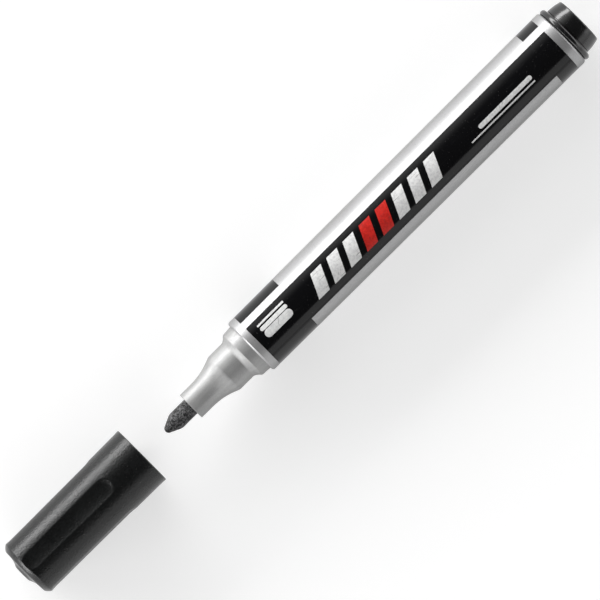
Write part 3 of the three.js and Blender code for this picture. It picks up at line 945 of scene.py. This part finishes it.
satin_black, tree, shader = new_finish("satin black plastic", Specular_IOR_Level=0.5)
texture = use(tree, grain, Grain_Size=0.42)
marks = use(tree, handling, Smudge_Size=8.0, Scratch_Amount=0.6)
mouth_rub = use(tree, rub, Edge=cap_face / MM, Width=0.35)
end_rub = use(tree, rub, Edge=cap_face / MM + crown_foot + CAP_END_CHAMFER / 2, Width=0.9)
edge_rub = calculate(tree, "MAXIMUM", mouth_rub["Mask"], end_rub["Mask"])
grained = blend(tree, texture["Speckle"], SATIN_DARK, SATIN_PALE)
dusted = blend(tree, marks["Dust"], grained, DUST_ON_BLACK)
rubbed = blend(tree, between(tree, edge_rub, 0, 1, to_high=0.5), dusted, SATIN_RUBBED)
connect(tree, blend(tree, marks["Scratch"], rubbed, SATIN_SCRATCH), shader["Base Color"])
smudged = between(tree, marks["Smudge"], 0, 1, to_low=0.24, to_high=0.31)
polish = calculate(tree, "MULTIPLY", edge_rub, RUB_POLISH)
connect(tree, calculate(tree, "SUBTRACT", smudged, polish), shader["Roughness"])
connect(tree, bumped(tree, texture["Height"], distance=0.07), shader["Normal"])
dress(cap, satin_black, "cap", "black_satin_plastic", "cap_shell")

# %% [markdown]
# The seal sleeve
#
# Inside the cap sits a soft, undyed sleeve. Its bore closes on the holder's land and keeps the
# ink's solvent in. With the cap on, its mouth meets the barrel's face, so places on the cap and on
# the marker are then the same, and the sleeve's floor clears the nib's tip by a gap. Undyed plastic
# lets light in a little way, which the shader's subsurface gives.

# %% Make the seal sleeve
SLEEVE_BORE_GAP = 0.08
SLEEVE_RIM_ROUND = 0.3
SLEEVE_FLOOR_GAP = 1.6
SLEEVE_FLOOR_WALL = 0.8

sleeve_front, sleeve_rim, sleeve_radius = measure("cap_seal_sleeve", cap_face)
sleeve_bore = land_radius + SLEEVE_BORE_GAP
sleeve_floor = nib_tip - SLEEVE_FLOOR_GAP
sleeve_outline = [
    (sleeve_floor - SLEEVE_FLOOR_WALL, 0),
    (sleeve_floor - SLEEVE_FLOOR_WALL, sleeve_bore),
    (sleeve_front, sleeve_bore),
    (sleeve_front, sleeve_radius),
    *arc(sleeve_rim - SLEEVE_RIM_ROUND, sleeve_radius - SLEEVE_RIM_ROUND, SLEEVE_RIM_ROUND, 90, 0),
    (sleeve_rim, sleeve_bore + SLEEVE_RIM_ROUND),
    (sleeve_rim - SLEEVE_RIM_ROUND, sleeve_bore),
    (sleeve_floor, sleeve_bore),
    (sleeve_floor, 0),
]
sleeve = turn("seal_sleeve", sleeve_outline, face=cap_face)

# %% Mix the undyed plastic
UNDYED_CLEAN = (0.70, 0.69, 0.65, 1)
UNDYED_STAINED = (0.58, 0.57, 0.55, 1)

undyed, tree, shader = new_finish(
    "undyed plastic", Subsurface_Weight=0.2, Subsurface_Scale=0.002, Specular_IOR_Level=0.4
)
texture = use(tree, grain, Grain_Size=0.4)
marks = use(tree, handling, Smudge_Size=4.0)
stain = between(tree, marks["Smudge"], 0, 1, to_high=0.5)
connect(tree, blend(tree, stain, UNDYED_CLEAN, UNDYED_STAINED), shader["Base Color"])
connect(tree, between(tree, texture["Height"], 0.3, 0.7, to_low=0.38, to_high=0.5), shader["Roughness"])
connect(tree, bumped(tree, texture["Height"], distance=0.008, strength=0.5), shader["Normal"])
dress(sleeve, undyed, "cap", "natural_plastic", "cap_seal_sleeve")

# %% [markdown]
# The ink reservoir
#
# The reservoir and its film are inside the barrel, where nothing of them shows. The model's own
# solids stay, and only take a finish: fibre that runs along the rod, and a clear film with a
# faint crease. Someone who lifts the barrel off will still find them finished.

# %% Mix the fibre and the film
BUNDLE_DARK = (0.008, 0.008, 0.012, 1)
BUNDLE_PALE = (0.05, 0.05, 0.06, 1)
FILM_DARK = (0.75, 0.76, 0.78, 1)
FILM_PALE = (0.9, 0.9, 0.91, 1)

bundle, tree, shader = new_finish("inked fibre bundle", Specular_IOR_Level=0.2)
strands = noise_of(tree, in_millimetres(tree), stretch=(0.15, 6.0, 6.0), detail=4.0, roughness=0.65)
connect(tree, blend(tree, strands, BUNDLE_DARK, BUNDLE_PALE), shader["Base Color"])
connect(tree, between(tree, strands, 0.3, 0.7, to_low=0.9, to_high=0.65), shader["Roughness"])
connect(tree, bumped(tree, strands, distance=0.12, strength=0.8), shader["Normal"])

film, tree, shader = new_finish("clear film", Transmission_Weight=0.7, IOR=1.48)
creases = noise_of(tree, in_millimetres(tree), stretch=(0.08, 1.4, 1.4), detail=3.0, roughness=0.6)
connect(tree, blend(tree, creases, FILM_DARK, FILM_PALE), shader["Base Color"])
connect(tree, between(tree, creases, 0.3, 0.7, to_low=0.12, to_high=0.3), shader["Roughness"])
connect(tree, bumped(tree, creases, distance=0.05, strength=0.5), shader["Normal"])

for node, material in (("reservoir_fibre", bundle), ("reservoir_film", film)):
    for material_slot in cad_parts[node].material_slots:
        material_slot.material = material
    print(node, "takes", material.name)

# %% [markdown]
# Floor and surroundings
#
# The marker lies on a plain white floor. Its white comes partly from the floor's own colour and
# partly from a glow that only the camera and reflections see, so that no extra light falls on the
# marker and the shadow stays. Around it is a dim room with three paler places: a narrow band at
# the horizon, the wall behind, which fades upwards, and the end past the nib. A glossy black
# cylinder shows them as a dark middle that fades softly into paler sides, which gives it its shape.

# %% Lay the floor
FLOOR_HALF_SIDE = 1.5
FLOOR_DROP = 0.02
FLOOR_GREY = (0.6, 0.6, 0.6, 1)
FLOOR_ROUGHNESS = 0.9
FLOOR_GLOW = 0.52
WHITE = (1, 1, 1, 1)

floor_draft = bmesh.new()
bmesh.ops.create_grid(floor_draft, x_segments=1, y_segments=1, size=FLOOR_HALF_SIDE)
floor = as_object("floor", floor_draft)
floor.location.z = -FLOOR_DROP * MM
floor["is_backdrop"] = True

paper, tree, shader = new_finish("white floor", Specular_IOR_Level=0.0)
shader["Base Color"].default_value = FLOOR_GREY
shader["Roughness"].default_value = FLOOR_ROUGHNESS
shader["Emission Color"].default_value = WHITE
rays = add(tree, "LightPath").outputs
seen = calculate(tree, "ADD", rays["Is Camera Ray"], rays["Is Glossy Ray"])
seen = calculate(tree, "ADD", seen, rays["Is Transmission Ray"], clamp=True)
connect(tree, calculate(tree, "MULTIPLY", seen, FLOOR_GLOW), shader["Emission Strength"])
floor.data.materials.append(paper)

# %% Light the surroundings
HORIZON_GLOW = 0.9
OVERHEAD_GLOW = 0.06
HORIZON_FADE = (0.04, 0.24)  # limits here are for the parts of a direction of length 1
WALL_GLOW = 1.0
WALL_FULL_AT = 0.76
WALL_FADE_POWER = 4.0
END_GLOW = 0.5
END_FADE = (-0.85, -0.5)

world = bpy.data.worlds.new("surroundings")
world.use_nodes = True
bpy.context.scene.world = world
tree = world.node_tree
direction = add(tree, "TexCoord").outputs["Generated"]
along, back, height = add(tree, "SeparateXYZ", {0: direction}).outputs
horizon = between(tree, height, *HORIZON_FADE, to_low=HORIZON_GLOW, to_high=OVERHEAD_GLOW)
wall = calculate(tree, "POWER", between(tree, back, 0, WALL_FULL_AT), WALL_FADE_POWER)
wall = calculate(tree, "MULTIPLY", wall, WALL_GLOW)
end = between(tree, along, *END_FADE, to_low=END_GLOW, to_high=0)
glow = calculate(tree, "MAXIMUM", horizon, calculate(tree, "MAXIMUM", wall, end))
background = tree.nodes["Background"]
background.inputs["Color"].default_value = WHITE
connect(tree, glow, background.inputs["Strength"])
print("surroundings made of", len(tree.nodes), "nodes")

# %% [markdown]
# Lamps
#
# One long soft box stands low behind the marker, so its reflection runs along every piece as a
# narrow bright band. A weaker one in front gives the other side a pale band. Four small ones stand
# past the two ends and at the two front corners. They light the floor, the satin silver and
# the faces that look along the marker, but a straight glossy cylinder doesn't mirror them. Straight
# above there is no lamp: a black cylinder that is seen from above is black along its middle.

# %% Hang the soft boxes
LAMP_DISTANCE = 1.2


def soft_box(name, towards, elevation, length, height, radiance):
    """A lamp that faces the marker, in a direction along the floor and at an elevation in degrees."""
    lamp = bpy.data.lights.new(name, "AREA")
    lamp.shape = "RECTANGLE"
    lamp.size = length
    lamp.size_y = height
    lamp.energy = radiance * math.pi * length * height
    stand = bpy.data.objects.new(name, lamp)
    rise = math.tan(math.radians(elevation)) * math.hypot(*towards)
    outwards = Vector((*towards, rise)).normalized()
    stand.location = Vector((0, 0, axis_height)) + LAMP_DISTANCE * outwards
    stand.rotation_euler = (-outwards).to_track_quat("-Z", "Y").to_euler()
    bpy.context.scene.collection.objects.link(stand)
    print(name, "gives", round(lamp.energy, 2), "W")


soft_box("key_core", (0, 1), elevation=17, length=2.6, height=0.36, radiance=8.6)
soft_box("fill_box", (0, -1), elevation=24, length=2.6, height=0.55, radiance=0.82)
soft_box("nib_end_box", (-1, 0.12), elevation=12, length=0.7, height=0.45, radiance=7.5)
soft_box("plug_end_box", (1, 0), elevation=14, length=1.0, height=0.4, radiance=2.0)
soft_box("nib_corner_box", (-0.8, -0.6), elevation=27, length=0.8, height=0.6, radiance=1.9)
soft_box("plug_corner_box", (0.8, -0.6), elevation=15, length=0.8, height=0.5, radiance=1.5)

# %% [markdown]
# The camera
#
# The photograph looks down at the marker through a long lens, with the marker on a slant from lower
# left to upper right. Rings near the plug bulge towards the plug there, but the cap's mouth is a
# straight line. So the camera hangs above the nib's tip, where it sees that mouth almost edge-on,
# leans back to the picture's middle, and turns until the marker has the same slant.

# %% Hang the camera
PICTURE_PIXELS = 600
MILLIMETRES_PER_PIXEL = 0.225
SLANT_DEGREES = 44.85
CENTRE_PLACE = 15.42
CENTRE_ASIDE = -0.35
CAMERA_HEIGHT = 2.2
LEAN_TO_CAP_DEGREES = 1.0
SENSOR_WIDTH = 36

picture_width = PICTURE_PIXELS * MILLIMETRES_PER_PIXEL * MM
camera_data = bpy.data.cameras.new("camera")
camera_data.sensor_width = SENSOR_WIDTH
camera_data.lens = SENSOR_WIDTH * CAMERA_HEIGHT / picture_width
camera = bpy.data.objects.new("camera", camera_data)
target = Vector((barrel_face + CENTRE_PLACE * MM, CENTRE_ASIDE * MM, axis_height))
lean = -math.radians(LEAN_TO_CAP_DEGREES)
camera.location = target + CAMERA_HEIGHT * Vector((math.sin(lean), 0, math.cos(lean)))
turned_down = Matrix.Rotation(lean, 3, "Y") @ Matrix.Rotation(math.radians(-SLANT_DEGREES), 3, "Z")
camera.rotation_euler = turned_down.to_euler()
bpy.context.scene.collection.objects.link(camera)
bpy.context.scene.camera = camera
bpy.context.scene.view_settings.view_transform = "Standard"
print("lens", round(camera_data.lens, 1), "mm, over", tuple(round(v, 4) for v in target))

# %% [markdown]
# The dressed size
#
# The dressed marker must fill the same box as the imported model, so its box is printed.

# %% Print the dressed box
low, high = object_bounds()
print("dressed box", [round(v / MM, 2) for v in high - low], "mm")
